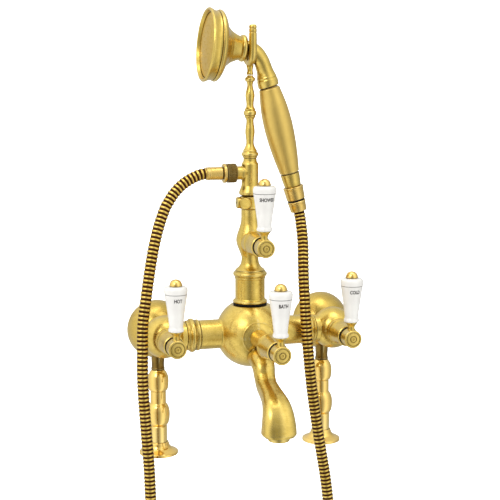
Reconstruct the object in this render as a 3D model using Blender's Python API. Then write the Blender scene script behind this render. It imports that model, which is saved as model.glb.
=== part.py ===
"""Exposed bath and shower mixer on two deck pillars, with a telephone handset on a riser.

Lengths here are millimetres; each mesh is written in metres, with +Z up, +X to the right
seen from the front and -Y towards the person in the bath. The origin is on the deck plane,
straight below the centre of the mixer's ball.
"""
from math import asin, cos, degrees, pi, radians, sin

import bmesh
import bpy
from mathutils import Vector

MM = 0.001
GAP = 0.3

# Driving dimensions
BAR_Z = 132.0
REACH_X = 90.0
PILLAR_Y = 35.0
BALL_R = 35.4
TUBE_R = 15.0
TUBE_END = 54.3
VALVE_R = 21.8
BELL_R = 30.5
BELL_WALL = 1.6
BELL_HOLE_R = 14.2
BELL_BACK_Y = 44.3
SHOWER_Z = 226.5
BRANCH_Z = 296.6
CRADLE_Z = 420.4
SPINDLE_R = 4.0
SPINDLE_BORE_R = SPINDLE_R + GAP
HUB_DEPTH = 13.5
SEAL_THICK = 2.2
LEVER_R = 9.0
ROD_R = 2.2
HANDSET_TILT = 5.3
GRIP_TILT = 14.3
GRIP_TOP = (19.9, 0.0, 382.5)
HOSE_R = 5.9
SPOUT_ROOT_Y = 34.6
OUTLET_Y = 104.0
LARGE_SIDES = 18
SIDES = 16
SMALL_SIDES = 12

FINISHES = {
    "brushed_brass": ((0.72, 0.50, 0.17), 0.34, 1.0),
    "polished_brass": ((0.83, 0.57, 0.20), 0.16, 1.0),
    "aged_brass": ((0.22, 0.14, 0.05), 0.45, 1.0),
    "hose_metal": ((0.70, 0.50, 0.18), 0.30, 1.0),
    "porcelain": ((0.90, 0.89, 0.89), 0.12, 0.0),
    "black_rubber": ((0.02, 0.02, 0.02), 0.60, 0.0),
    "rose_metal": ((0.60, 0.43, 0.16), 0.40, 1.0),
}

AXES = {
    "+X": (1, 0, 0),
    "-X": (-1, 0, 0),
    "+Y": (0, 1, 0),
    "-Y": (0, -1, 0),
    "+Z": (0, 0, 1),
}


# ---------------------------------------------------------------- tools

def clear_scene():
    for obj in list(bpy.data.objects):
        bpy.data.objects.remove(obj, do_unlink=True)


def finish_material(name):
    material = bpy.data.materials.get(name)
    if material:
        return material
    color, roughness, metallic = FINISHES[name]
    material = bpy.data.materials.new(name)
    material.use_nodes = True
    shader = material.node_tree.nodes["Principled BSDF"]
    shader.inputs["Base Color"].default_value = (*color, 1.0)
    shader.inputs["Roughness"].default_value = roughness
    shader.inputs["Metallic"].default_value = metallic
    material.diffuse_color = (*color, 1.0)
    return material


def empty_at(name, at):
    holder = bpy.data.objects.new(name, None)
    holder.location = Vector(at) * MM
    bpy.context.collection.objects.link(holder)
    return holder


def add_object(name, mesh, finish, at, parent):
    obj = bpy.data.objects.new(name, mesh)
    obj.location = Vector(at) * MM
    if parent:
        obj.parent = parent
        obj.location -= parent.location
    mesh.materials.append(finish_material(finish))
    bpy.context.collection.objects.link(obj)
    return obj


def finish_mesh(bm, name):
    bmesh.ops.recalc_face_normals(bm, faces=bm.faces)
    mesh = bpy.data.meshes.new(name)
    bm.to_mesh(mesh)
    bm.free()
    mesh.shade_smooth()
    mesh.set_sharp_from_angle(angle=radians(40))
    return mesh


def join_rings(bm, lower, upper):
    """Skin two neighbouring rings; a ring of one vertex is a pole."""
    count = max(len(lower), len(upper))
    for i in range(count):
        j = (i + 1) % count
        if len(lower) == 1:
            bm.faces.new((lower[0], upper[i], upper[j]))
        elif len(upper) == 1:
            bm.faces.new((lower[i], lower[j], upper[0]))
        else:
            bm.faces.new((lower[i], lower[j], upper[j], upper[i]))


def lathe(name, outline, finish, at=(0, 0, 0), axis="+Z", sides=SIDES, parent=None):
    """Turn (radius, height) points about an axis through the point at.

    An outline that starts and ends on the axis is solid. Any other outline is closed on
    itself, which makes a ring with a hole.
    """
    bm = bmesh.new()
    rings = []
    for radius, height in outline:
        if radius == 0:
            rings.append([bm.verts.new((0, 0, height * MM))])
            continue
        ring = []
        for i in range(sides):
            turn = 2 * pi * (i + 0.5) / sides
            ring.append(bm.verts.new((radius * cos(turn) * MM, radius * sin(turn) * MM, height * MM)))
        rings.append(ring)
    for lower, upper in zip(rings, rings[1:]):
        join_rings(bm, lower, upper)
    if outline[0][0] != 0:
        join_rings(bm, rings[-1], rings[0])
    obj = add_object(name, finish_mesh(bm, name), finish, at, parent)
    direction = Vector(AXES[axis] if isinstance(axis, str) else axis)
    obj.rotation_mode = "QUATERNION"
    obj.rotation_quaternion = Vector((0, 0, 1)).rotation_difference(direction)
    return obj


def sweep(name, stations, across, finish, sides=SIDES, squareness=2.0, parent=None, at=(0, 0, 0)):
    """Skin sections along a path that lies in a plane.

    Each station is (x, y, z, half width along the vector across, half thickness in the
    path's plane). squareness 2 gives round sections, and more gives squarer ones.
    """
    bm = bmesh.new()
    across = Vector(across)
    points = [Vector(s[:3]) for s in stations]
    rings = []
    for i, station in enumerate(stations):
        ahead = points[min(i + 1, len(points) - 1)]
        behind = points[max(i - 1, 0)]
        normal = (ahead - behind).normalized().cross(across)
        ring = []
        for k in range(sides):
            turn = 2 * pi * (k + 0.5) / sides
            c, s = cos(turn), sin(turn)
            power = 2.0 / squareness
            u = abs(c) ** power * (1 if c >= 0 else -1) * station[3]
            v = abs(s) ** power * (1 if s >= 0 else -1) * station[4]
            ring.append(bm.verts.new((points[i] - Vector(at) + across * u + normal * v) * MM))
        rings.append(ring)
    for lower, upper in zip(rings, rings[1:]):
        join_rings(bm, lower, upper)
    bm.faces.new(rings[0])
    bm.faces.new(rings[-1])
    return add_object(name, finish_mesh(bm, name), finish, at, parent)


def through(points, steps):
    """Points on a smooth curve through the given points, steps to each span."""
    padded = [points[0], *points, points[-1]]
    result = []
    for i in range(1, len(padded) - 2):
        a, b, c, d = padded[i - 1:i + 3]
        for k in range(steps):
            t = k / steps
            result.append(tuple(
                0.5 * (2 * q + (r - p) * t + (2 * p - 5 * q + 4 * r - s) * t * t
                       + (3 * q - p - 3 * r + s) * t ** 3)
                for p, q, r, s in zip(a, b, c, d)))
    result.append(tuple(points[-1]))
    return result


def arc(centre, radius, start, end, steps):
    """Outline points on a circle centred on the axis; degrees run from -90 to 90."""
    turns = [radians(start + (end - start) * i / steps) for i in range(steps + 1)]
    return [(radius * cos(t), centre + radius * sin(t)) for t in turns]


def merge(target, tool, operation="UNION"):
    """Join a hidden tool to the target, or cut it away."""
    tool.hide_render = True
    tool.display_type = "WIRE"
    cut = target.modifiers.new(operation.title() + " " + tool.name, "BOOLEAN")
    cut.operation = operation
    cut.object = tool
    cut.solver = "EXACT"


# ---------------------------------------------------------------- mixer body

def mixer_body():
    """Ball, both cross tubes, the riser's seat and the barrel that carries the spout."""
    tube_meets = 29.0
    edge = degrees(asin(tube_meets / BALL_R))
    half = arc(0, BALL_R, -edge, edge, 8)
    outline = [(0, -TUBE_END), (TUBE_R, -TUBE_END), (TUBE_R, -33.0), (15.5, -31.0)]
    outline += half + [(15.5, 31.0), (TUBE_R, 33.0), (TUBE_R, TUBE_END), (0, TUBE_END)]
    body = lathe("mixer_body", outline, "brushed_brass", (0, 0, BAR_Z), "+X", sides=LARGE_SIDES)
    crown = [(0, 161.2), (24, 161.2), (24, 175), (0, 175)]
    merge(body, lathe("crown_facing_tool", crown, "brushed_brass"), "DIFFERENCE")
    barrel = [(0, 18), (16.8, 18), (16.8, 31.2), (16.2, 32.0), (9.2, 32.0), (8.6, 33.6), (8.6, 69.7),
              (0, 69.7)]
    merge(body, lathe("barrel_tool", barrel, "brushed_brass", (0, 0, BAR_Z), "-Y"))
    stub = [(0, 16), (10.6, 16), (10.6, SPOUT_ROOT_Y - GAP), (0, SPOUT_ROOT_Y - GAP)]
    merge(body, lathe("spout_stub_tool", stub, "brushed_brass", (0, 0, 112.7), "-Y"))


def arm_collar(name, side):
    """Union nut with two turned beads, between a cross tube and a valve body."""
    outline = [(11.7, 54.6), (15.8, 54.6), (16.1, 56.6), (15.5, 58.2), (17.2, 60.8), (17.3, 63.2),
               (15.4, 66.8), (14.6, 68.2), (11.7, 68.2)]
    lathe(name, outline, "brushed_brass", (0, 0, BAR_Z), side)


def valve_body(name, side, x):
    """Round valve body with its inner spigot, bonnet boss and rear inlet."""
    neck = 16.6
    start = -degrees(asin(neck / VALVE_R))
    outline = [(0, 54.6), (11.2, 54.6), (11.2, 68.6), (14.1, 68.6), (14.1, REACH_X - neck - 0.6)]
    outline += arc(REACH_X, VALVE_R, start, 80, 7) + [(0, REACH_X + VALVE_R)]
    body = lathe(name, outline, "brushed_brass", (0, 0, BAR_Z), side)
    boss = [(0, 10), (12.6, 10), (12.6, 21.4), (11.6, 22.8), (0, 22.8)]
    merge(body, lathe(name + "_boss_tool", boss, "brushed_brass", (x, 0, BAR_Z), "-Y"))
    inlet = [(0, 10), (9.5, 10), (9.5, 24.0), (0, 24.0)]
    merge(body, lathe(name + "_inlet_tool", inlet, "brushed_brass", (x, 0, BAR_Z), "+Y"))


def escutcheon(name, x):
    """Bell over the inlet elbow, open at the back and notched for the pillar below."""
    outer_hole = degrees(pi / 2 - asin(BELL_HOLE_R / BELL_R))
    inner_r = BELL_R - BELL_WALL
    inner_hole = degrees(pi / 2 - asin(BELL_HOLE_R / inner_r))
    outline = arc(0, BELL_R, 0, outer_hole, 5) + arc(0, inner_r, inner_hole, 0, 5)
    bell = lathe(name, outline, "brushed_brass", (x, BELL_BACK_Y, BAR_Z), "-Y", sides=LARGE_SIDES)
    notch = [(0, 94), (7.6, 94), (7.6, 112), (0, 112)]
    merge(bell, lathe(name + "_notch_tool", notch, "brushed_brass", (x, PILLAR_Y, 0)), "DIFFERENCE")


def inlet_elbow(name, x):
    """Elbow from the valve's rear inlet down to the pillar."""
    level = [(0, 24.3), (9.0, 24.3), (9.0, 37.5), (7.6, 41.0), (4.2, 43.2), (0, 43.8)]
    elbow = lathe(name, level, "polished_brass", (x, 0, BAR_Z), "+Y")
    drop = [(0, 90.3), (7.2, 90.3), (6.6, 93.0), (6.6, 97.0), (7.0, 101.0), (7.0, BAR_Z), (0, BAR_Z)]
    merge(elbow, lathe(name + "_drop_tool", drop, "polished_brass", (x, PILLAR_Y, 0)))


def pillar(side_name, x):
    """Turned pillar leg and the flared flange round its foot."""
    leg = [(0, 0), (9.0, 0), (9.0, 29.6), (8.6, 30.3), (9.2, 31.0)]
    leg += through([(10.2, 32.2), (11.6, 37.5), (12.0, 43.0), (11.2, 48.5), (9.0, 53.2)], 1)
    leg += [(8.3, 54.4), (8.2, 66.4), (7.9, 67.2), (9.0, 68.0)]
    leg += through([(10.0, 69.6), (11.0, 76.0), (10.4, 82.4), (7.6, 88.6)], 1)
    leg += [(7.0, 90.0), (0, 90.0)]
    lathe(side_name + "_pillar", leg, "polished_brass", (x, PILLAR_Y, 0))
    flange = [(9.4, 0), (20.0, 0), (20.4, 1.0), (20.2, 3.4)]
    flange += through([(17.6, 4.2), (13.8, 5.9), (11.5, 8.8), (10.3, 12.6)], 1)
    flange += [(9.4, 12.8)]
    lathe(side_name + "_foot_flange", flange, "polished_brass", (x, PILLAR_Y, 0))


# ---------------------------------------------------------------- spout

def spout():
    """S-shaped spout, slim under the barrel and flared at the outlet, with a bored mouth."""
    root = (0, -SPOUT_ROOT_Y, 112.8, 11.4, 9.6)
    path = [(0, -SPOUT_ROOT_Y - 1, 112.8, 11.4, 9.6), (0, -42.6, 111.4, 11.6, 9.6),
            (0, -50.4, 106.8, 11.2, 9.6), (0, -54.8, 97.6, 10.4, 9.6), (0, -61.8, 90.4, 10.3, 9.4),
            (0, -73.0, 86.4, 10.6, 9.2), (0, -84.6, 82.8, 11.8, 9.6), (0, -94.6, 78.0, 13.7, 10.4),
            (0, -100.8, 70.8, 15.3, 11.4), (0, -103.6, 61.8, 16.4, 12.4), (0, -OUTLET_Y, 54.5, 16.9, 13.2)]
    stations = [root, *path]
    stations += [(0, -OUTLET_Y, 53.4, 16.9, 13.2), (0, -OUTLET_Y, 50.6, 14.6, 12.2)]
    body = sweep("spout", stations, (1, 0, 0), "brushed_brass", squareness=2.5)
    mouth = [(0, 44), (11.0, 44), (11.0, 60.5), (8.0, 64.0), (0, 64.0)]
    merge(body, lathe("spout_mouth_tool", mouth, "brushed_brass", (0, -OUTLET_Y, 0)), "DIFFERENCE")
    ring = [(7.8, 46.6), (10.0, 46.6), (10.6, 47.4), (10.6, 58.0), (7.8, 58.0)]
    lathe("aerator_ring", ring, "brushed_brass", (0, -OUTLET_Y, 0))


# ---------------------------------------------------------------- riser

def riser():
    gasket = [(0, 161.5), (17.3, 161.5), (17.3, 163.0), (0, 163.0)]
    lathe("riser_gasket", gasket, "black_rubber")
    union = [(0, 163.3), (17.6, 163.3), (17.6, 165.6), (15.2, 167.6), (15.2, 188.2), (16.5, 190.6),
             (17.3, 192.4), (17.3, 193.8), (15.6, 196.6), (0, 196.6)]
    lathe("riser_union_nut", union, "brushed_brass", sides=LARGE_SIDES)
    body_outline = [(0, 196.9), (15.0, 196.9), (14.4, 198.2), (12.0, 199.8), (10.2, 202.0), (9.0, 205.4)]
    body_outline += through([(8.6, 209.2), (9.4, 212.4), (11.5, 218.0), (13.7, 224.0), (14.1, 229.0),
                             (12.9, 234.6), (11.0, 240.0), (9.6, 244.6), (9.0, 249.6)], 1)
    body_outline += [(9.0, 259.7), (0, 259.7)]
    body = lathe("shower_valve_body", body_outline, "brushed_brass")
    boss = [(0, 4), (11.8, 4), (11.8, 15.6), (11.0, 16.4), (0, 16.4)]
    merge(body, lathe("shower_boss_tool", boss, "brushed_brass", (0, 0, SHOWER_Z), "-Y"))


def swivel_collar():
    """Collar that clamps the upper riser, with a round boss to the front left."""
    outline = [(0, 260.0), (10.2, 260.0), (10.6, 260.8), (10.6, 271.8), (10.2, 272.6), (0, 272.6)]
    collar = lathe("swivel_collar", outline, "brushed_brass")
    turn = radians(37)
    boss = [(0, 2), (5.8, 2), (5.8, 12.8), (5.2, 13.6), (0, 13.6)]
    merge(collar, lathe("collar_boss_tool", boss, "brushed_brass", (0, 0, 266.4),
                        (-sin(turn), -cos(turn), 0), sides=SMALL_SIDES))
    pad = [(0, 2), (6.0, 2), (6.0, 14.2), (0, 14.2)]
    merge(collar, lathe("collar_pad_tool", pad, "brushed_brass", (0, 0, 266.4), "-X",
                        sides=SMALL_SIDES))


def hose_tee():
    outline = [(0, 272.9), (8.6, 272.9), (8.6, 273.8), (11.0, 274.8), (11.2, 276.6), (10.0, 279.8),
               (8.6, 283.6), (8.6, 305.2), (8.0, 306.8), (6.8, 308.4), (6.6, 311.4), (0, 311.4)]
    tee = lathe("hose_tee", outline, "brushed_brass")
    branch = [(0, 0), (7.6, 0), (7.6, 8.2), (6.9, 9.6), (6.9, 14.6), (5.9, 14.6), (5.9, 20.8), (0, 20.8)]
    merge(tee, lathe("tee_branch_tool", branch, "brushed_brass", (0, 0, BRANCH_Z), "-X"))
    nut = [(6.3, 14.9), (9.3, 14.9), (9.9, 15.8), (9.9, 25.4), (9.6, 26.4), (9.8, 27.4), (8.8, 28.5),
           (6.6, 28.5), (6.3, 28.0)]
    lathe("hose_tee_nut", nut, "aged_brass", (0, 0, BRANCH_Z), "-X")
    ferrule = [(0, 21.1), (5.9, 21.1), (5.9, 28.8), (6.7, 29.6), (6.7, 44.4), (6.2, 45.1), (0, 45.1)]
    lathe("hose_ferrule", ferrule, "hose_metal", (0, 0, BRANCH_Z), "-X", sides=SMALL_SIDES)


def baluster_stem():
    outline = [(0, 311.7), (7.2, 311.7), (7.4, 313.0), (8.6, 314.6), (8.7, 316.2), (7.6, 317.4),
               (7.4, 318.6)]
    outline += through([(6.3, 320.4), (4.2, 325.6), (4.2, 331.0), (4.9, 337.6), (4.2, 344.0),
                        (3.7, 348.2), (4.6, 351.8)], 1)
    outline += [(5.6, 353.2), (6.5, 356.6), (6.3, 358.6), (5.2, 361.4)]
    outline += through([(3.9, 363.2), (3.8, 366.6), (4.7, 374.2), (3.6, 379.6), (2.9, 384.0),
                        (3.6, 387.0)], 1)
    outline += [(5.0, 388.6), (5.2, 390.6), (4.2, 392.4), (2.9, 393.2), (2.9, 394.4), (0, 394.4)]
    lathe("baluster_stem", outline, "brushed_brass", sides=SMALL_SIDES)


def cradle_fork():
    """Open fork that holds the handset's neck; its rear arm ends lower than the front one."""
    x = -0.5
    arm_y = 12.6
    side = [(x, -arm_y, 443.2, 3.9, 3.9), (x, -arm_y, 424.0, 4.0, 4.0), (x, -12.3, 415.2, 4.0, 3.8),
            (x, -8.8, 409.2, 3.7, 3.5)]
    rear_side = [(x, 8.8, 409.2, 3.7, 3.5), (x, 12.3, 415.2, 4.0, 3.8), (x, arm_y, 425.2, 3.9, 3.9)]
    stations = through([*side, (x, 0, 406.3, 3.5, 3.3), *rear_side], 2)[1:-1]
    tip = [(x, -arm_y, 444.4, 3.2, 3.2)]
    rear_tip = [(x, arm_y, 427.0, 3.0, 3.0)]
    fork = sweep("cradle_fork", tip + stations + rear_tip, (1, 0, 0), "brushed_brass", sides=10)
    foot = [(0, 394.7), (3.2, 394.7), (3.4, 396.4), (2.8, 399.0), (3.4, 402.6), (3.4, 406.0), (0, 406.0)]
    merge(fork, lathe("fork_foot_tool", foot, "brushed_brass", sides=SMALL_SIDES))


# ---------------------------------------------------------------- handset

def handset():
    """Telephone handset: head to the left, grip hanging down to the right, hose nuts below."""
    holder = empty_at("handset_frame", (0, 0, CRADLE_Z))
    head_axis = (-cos(radians(HANDSET_TILT)), 0, sin(radians(HANDSET_TILT)))
    rest = (0, 0, CRADLE_Z)

    neck = [(-4.9, 0, 420.9, 7.9, 7.9), (0, 0, 420.2, 7.9, 7.9), (6.4, 0, 416.2, 8.0, 8.0),
            (11.7, 0, 408.8, 7.9, 7.9), (15.2, 0, 399.6, 8.6, 8.4), (17.6, 0, 392.0, 10.2, 10.2),
            (18.5, 0, 388.0, 10.7, 10.6), (19.8, 0, 382.9, 10.3, 10.3)]
    sweep("handset_neck", neck, (0, 1, 0), "brushed_brass", parent=holder, at=rest)

    bell = [(0, 5.3), (12.6, 5.3), (13.4, 6.4), (13.4, 9.0), (12.6, 10.4), (11.9, 10.9), (12.0, 11.8)]
    bell += through([(12.9, 14.0), (14.4, 17.2), (16.6, 21.0), (19.6, 24.0), (24.6, 27.0), (30.4, 29.6),
                     (34.4, 31.8), (35.7, 34.2)], 1)
    bell += [(34.8, 36.2), (0, 36.2)]
    lathe("shower_head_bell", bell, "brushed_brass", rest, head_axis, sides=LARGE_SIDES, parent=holder)
    rim = [(32.8, 36.5), (34.4, 36.5), (34.4, 38.4), (35.4, 41.4), (36.8, 44.4), (36.5, 46.2), (35.0, 46.8),
           (33.8, 46.0), (33.4, 44.0), (32.8, 43.8)]
    lathe("shower_head_rim", rim, "brushed_brass", rest, head_axis, sides=LARGE_SIDES, parent=holder)
    rose = [(0, 38.2), (32.4, 38.2), (32.4, 42.4), (24.0, 44.4), (12.0, 45.5), (0, 45.8)]
    lathe("rose_plate", rose, "rose_metal", rest, head_axis, sides=LARGE_SIDES, parent=holder)

    down = (sin(radians(GRIP_TILT)), 0, -cos(radians(GRIP_TILT)))
    grip = [(0, GAP), (10.3, GAP)]
    grip += through([(10.8, 2.0), (12.6, 13.0), (14.1, 26.0), (14.6, 38.0), (14.3, 52.0), (13.1, 67.0),
                     (11.2, 81.0), (9.9, 89.8)], 1)
    grip += [(0, 89.8)]
    pieces = (
        ("handset_grip", grip, "brushed_brass"),
        ("handset_ferrule", [(0, 90.2), (9.6, 90.2), (9.5, 96.0), (8.5, 103.8), (0, 103.8)],
         "brushed_brass"),
        ("handset_tail_nut", [(0, 104.1), (10.2, 104.1), (10.4, 105.0), (9.3, 117.8), (0, 117.8)],
         "hose_metal"),
        ("handset_washer", [(0, 118.1), (8.9, 118.1), (8.9, 119.4), (0, 119.4)], "black_rubber"),
        ("hose_cone_nut", [(0, 119.7), (9.2, 119.7), (9.3, 120.6), (8.3, 129.6), (7.4, 130.6), (0, 130.6)],
         "hose_metal"),
    )
    for name, outline, finish in pieces:
        lathe(name, outline, finish, GRIP_TOP, down, parent=holder)


# ---------------------------------------------------------------- hose

HOSE_ROUTE = [
    (-46.2, 0, 296.6), (-50.6, -0.2, 296), (-55.4, -0.5, 294.6), (-64.5, -1.3, 290.4),
    (-72.7, -2.4, 284.7), (-79.8, -3.8, 277.7), (-85.7, -5.5, 269.7), (-90.7, -7.4, 261),
    (-98, -11.1, 242.4), (-103.4, -14.7, 223.1), (-107.7, -18.1, 203.6), (-113, -22, 173.8),
    (-116.6, -24, 149), (-117.4, -25, 125), (-117.5, -25.5, 90), (-114.6, -25.5, 40),
    (-112.2, -25.5, 5), (-109.6, -25.5, -60), (-104.6, -25.5, -122), (-94.5, -25.5, -180),
    (-76, -25.5, -235), (-48, -25.5, -274), (-12, -25.5, -292), (25, -25.5, -284), (55, -25.5, -252),
    (73, -25.5, -203), (81, -25.5, -146), (81, -25.5, -86), (75.8, -25.5, -30), (66.8, -25.5, 24),
    (59, -25.5, 76), (54, -25, 126), (51.6, -23, 166), (51.8, -17.5, 197), (53.8, -9, 224),
    (53.8, -2.2, 243.5), (52.9, 0, 252.4), (52.4, 0, 255.1),
]


def hose():
    """Ribbed hose as one plain tube, from the tee's ferrule down and up to the handset."""
    route = through(HOSE_ROUTE, 3)
    picked = [route[0], *route[2:-2:2], route[-1]]
    curve = bpy.data.curves.new("hose", "CURVE")
    curve.dimensions = "3D"
    curve.bevel_depth = HOSE_R * MM
    curve.bevel_resolution = 2
    curve.use_fill_caps = True
    spline = curve.splines.new("POLY")
    spline.points.add(len(picked) - 1)
    for point, place in zip(spline.points, picked):
        point.co = (*(Vector(place) * MM), 1.0)
    curve.materials.append(finish_material("hose_metal"))
    bpy.context.collection.objects.link(bpy.data.objects.new("hose", curve))


# ---------------------------------------------------------------- valves

def valve(prefix, x, z, back, front, back_r, front_r):
    """Bonnet, seal and spindle, and the quarter-turn lever on the spindle's axis.

    back and front are how far the bonnet's two ends stand in front of the bar's axis.
    """
    centre = (x, 0, z)
    bonnet = [(SPINDLE_BORE_R, back), (back_r - 1.0, back), (back_r, back + 1.2),
              (back_r, back + 3.4), (front_r, front - 1.0), (front_r - 0.8, front),
              (SPINDLE_BORE_R, front)]
    lathe(prefix + "_bonnet", bonnet, "brushed_brass", centre, "-Y")
    seal_back = front + GAP
    hub_back = seal_back + SEAL_THICK + GAP
    hub_front = hub_back + HUB_DEPTH
    socket = hub_back + 8.0
    pivot = (x, -(hub_back + HUB_DEPTH / 2), z)
    holder = empty_at(prefix + "_lever_pivot", pivot)

    seal = [(SPINDLE_BORE_R, seal_back), (9.5, seal_back), (9.5, seal_back + SEAL_THICK),
            (SPINDLE_BORE_R, seal_back + SEAL_THICK)]
    lathe(prefix + "_seal", seal, "black_rubber", centre, "-Y")
    spindle = [(0, back), (SPINDLE_R, back), (SPINDLE_R, socket - GAP), (0, socket - GAP)]
    lathe(prefix + "_spindle", spindle, "brushed_brass", centre, "-Y", SMALL_SIDES, holder)

    drum = [(0, socket), (SPINDLE_BORE_R, socket), (SPINDLE_BORE_R, hub_back), (LEVER_R - 0.6, hub_back),
            (LEVER_R, hub_back + 0.8), (LEVER_R, hub_front - 1.4), (LEVER_R - 1.0, hub_front),
            (3.4, hub_front), (3.0, hub_front - 0.5), (0, hub_front - 0.5)]
    hub = lathe(prefix + "_lever_hub", drum, "brushed_brass", centre, "-Y", parent=holder)
    arm = [(0, 6.4), (3.8, 6.4), (3.6, 11.4), (4.4, 13.9), (6.2, 16.9), (ROD_R, 16.9), (ROD_R, 61.4),
           (0, 61.4)]
    merge(hub, lathe(prefix + "_arm_tool", arm, "brushed_brass", pivot, sides=SMALL_SIDES))

    bore = ROD_R + GAP
    handle = [(bore, 17.2), (7.5, 17.2), (7.7, 19.0), (7.0, 21.2), (8.6, 37.0), (10.9, 54.0),
              (11.5, 57.6), (10.8, 60.2), (8.6, 61.5), (bore, 61.5)]
    lathe(prefix + "_porcelain_handle", handle, "porcelain", pivot, parent=holder)
    button = [(0, 61.8), (6.2, 61.8), (5.9, 64.6), (4.4, 67.0), (0, 68.4)]
    lathe(prefix + "_cap_button", button, "brushed_brass", pivot, sides=SMALL_SIDES, parent=holder)


def build():
    clear_scene()
    mixer_body()
    for side_name, side, x in (("hot", "-X", -REACH_X), ("cold", "+X", REACH_X)):
        arm_collar(side_name + "_arm_collar", side)
        valve_body(side_name + "_valve_body", side, x)
        escutcheon(side_name + "_escutcheon", x)
        inlet_elbow(side_name + "_inlet_elbow", x)
        pillar(side_name, x)
        valve(side_name, x, BAR_Z, back=23.1, front=47.5, back_r=12.2, front_r=10.6)
    spout()
    riser()
    swivel_collar()
    hose_tee()
    baluster_stem()
    cradle_fork()
    valve("bath", 0, BAR_Z, back=70.0, front=99.0, back_r=12.9, front_r=10.2)
    valve("shower", 0, SHOWER_Z, back=16.7, front=43.5, back_r=12.0, front_r=10.6)
    handset()
    hose()


build()
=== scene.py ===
"""Brushed brass bath and shower mixer: the finished surfaces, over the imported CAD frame.

Outlines and places here are millimetres in the CAD's own frame; meshes are made in metres.
The bar, valve and riser positions are read from the frame's nodes.
"""
from math import asin, atan2, cos, degrees, exp, pi, radians, sin, sqrt, tan

import bmesh
import bpy
import numpy as np
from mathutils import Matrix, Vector


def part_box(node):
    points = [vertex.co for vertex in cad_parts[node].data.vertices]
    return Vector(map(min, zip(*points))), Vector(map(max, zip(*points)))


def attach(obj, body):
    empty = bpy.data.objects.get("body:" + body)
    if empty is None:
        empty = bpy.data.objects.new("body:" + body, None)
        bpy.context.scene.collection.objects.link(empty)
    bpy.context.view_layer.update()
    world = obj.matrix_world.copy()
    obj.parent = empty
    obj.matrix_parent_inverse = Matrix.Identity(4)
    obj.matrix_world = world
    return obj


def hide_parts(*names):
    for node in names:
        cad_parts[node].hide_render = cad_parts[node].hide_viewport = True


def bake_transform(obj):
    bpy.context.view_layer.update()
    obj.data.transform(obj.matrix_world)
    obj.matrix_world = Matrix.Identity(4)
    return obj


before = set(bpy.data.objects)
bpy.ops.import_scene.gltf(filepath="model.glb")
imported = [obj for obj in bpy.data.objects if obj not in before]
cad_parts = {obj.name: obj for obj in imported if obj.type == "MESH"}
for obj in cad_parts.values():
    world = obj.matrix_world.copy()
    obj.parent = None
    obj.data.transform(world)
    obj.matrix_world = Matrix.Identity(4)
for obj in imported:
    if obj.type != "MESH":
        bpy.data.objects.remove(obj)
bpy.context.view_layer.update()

MM = 0.001
FIXED = "fixed_body"
HANDSET = "handset"


def middle(node):
    low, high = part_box(node)
    return (low + high) / 2 / MM


def ends(node, axis):
    """Lowest and highest coordinate of a node along X, Y or Z."""
    low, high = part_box(node)
    return low[axis] / MM, high[axis] / MM


GASKET_ABOVE_BAR = 30.25
BAR_Z = middle("riser_gasket").z - GASKET_ABOVE_BAR
REACH_X = middle("cold_pillar").x
PILLAR_Y = middle("cold_pillar").y
SHOWER_Z = middle("shower_seal").z
BRANCH_Z = middle("hose_tee_nut").z
BALL_R = 35.4
TUBE_R = 15.0
BORE_R = 4.3
OUTLET_Y = -middle("aerator_ring").y
VALVE_R = 21.8
BELL_R = 30.5
BELL_RIM_Y = ends("cold_escutcheon", 1)[1]
BELL_WALL = 1.6
BELL_HOLE_R = 14.2
CRADLE = (0, 0, 420.4)
HANDSET_TILT = radians(5.3)
HEAD_AXIS = (-cos(HANDSET_TILT), 0, sin(HANDSET_TILT))
GRIP_TILT = radians(14.3)
GRIP_TOP = (19.9, 0, 382.5)
GRIP_AXIS = (sin(GRIP_TILT), 0, -cos(GRIP_TILT))

AXES = {"+X": (1, 0, 0), "-X": (-1, 0, 0), "+Y": (0, 1, 0), "-Y": (0, -1, 0), "+Z": (0, 0, 1)}


# ================================================================ camera

def make_camera():
    data = bpy.data.cameras.new("camera")
    data.lens = 91.55
    data.sensor_width = 36
    data.clip_end = 50
    camera = bpy.data.objects.new("camera", data)
    camera.location = (-0.3446, -1.2393, 0.4055)
    camera.rotation_euler = (radians(81.68), 0, radians(-15.54))
    bpy.context.collection.objects.link(camera)
    bpy.context.scene.camera = camera


# ================================================================ outlines

def through(points, steps):
    """Points on a smooth curve through the given points, steps to each span."""
    padded = [points[0], *points, points[-1]]
    result = []
    for i in range(1, len(padded) - 2):
        a, b, c, d = padded[i - 1:i + 3]
        for k in range(steps):
            t = k / steps
            result.append(tuple(
                0.5 * (2 * q + (r - p) * t + (2 * p - 5 * q + 4 * r - s) * t * t
                       + (3 * q - p - 3 * r + s) * t ** 3)
                for p, q, r, s in zip(a, b, c, d)))
    result.append(tuple(points[-1]))
    return result


def rounded(corners, steps=4):
    """Outline through (radius, height) corners; a third number rounds that corner by so much."""
    result = []
    for i, corner in enumerate(corners):
        here = Vector(corner[:2])
        if len(corner) < 3 or i in (0, len(corners) - 1):
            result.append(tuple(here))
            continue
        before = Vector(corners[i - 1][:2]) - here
        after = Vector(corners[i + 1][:2]) - here
        reach = corner[2] / max(tan(before.angle(after) / 2), 0.05)
        reach = min(reach, 0.48 * before.length, 0.48 * after.length)
        start = here + before.normalized() * reach
        end = here + after.normalized() * reach
        for k in range(steps + 1):
            t = k / steps
            result.append(tuple(start * (1 - t) ** 2 + here * 2 * t * (1 - t) + end * t * t))
    return result


def arc(centre, radius, start, end, steps):
    """Outline points on a circle centred on the axis; degrees run from -90 to 90."""
    turns = [radians(start + (end - start) * i / steps) for i in range(steps + 1)]
    return [(radius * cos(t), centre + radius * sin(t)) for t in turns]


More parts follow.
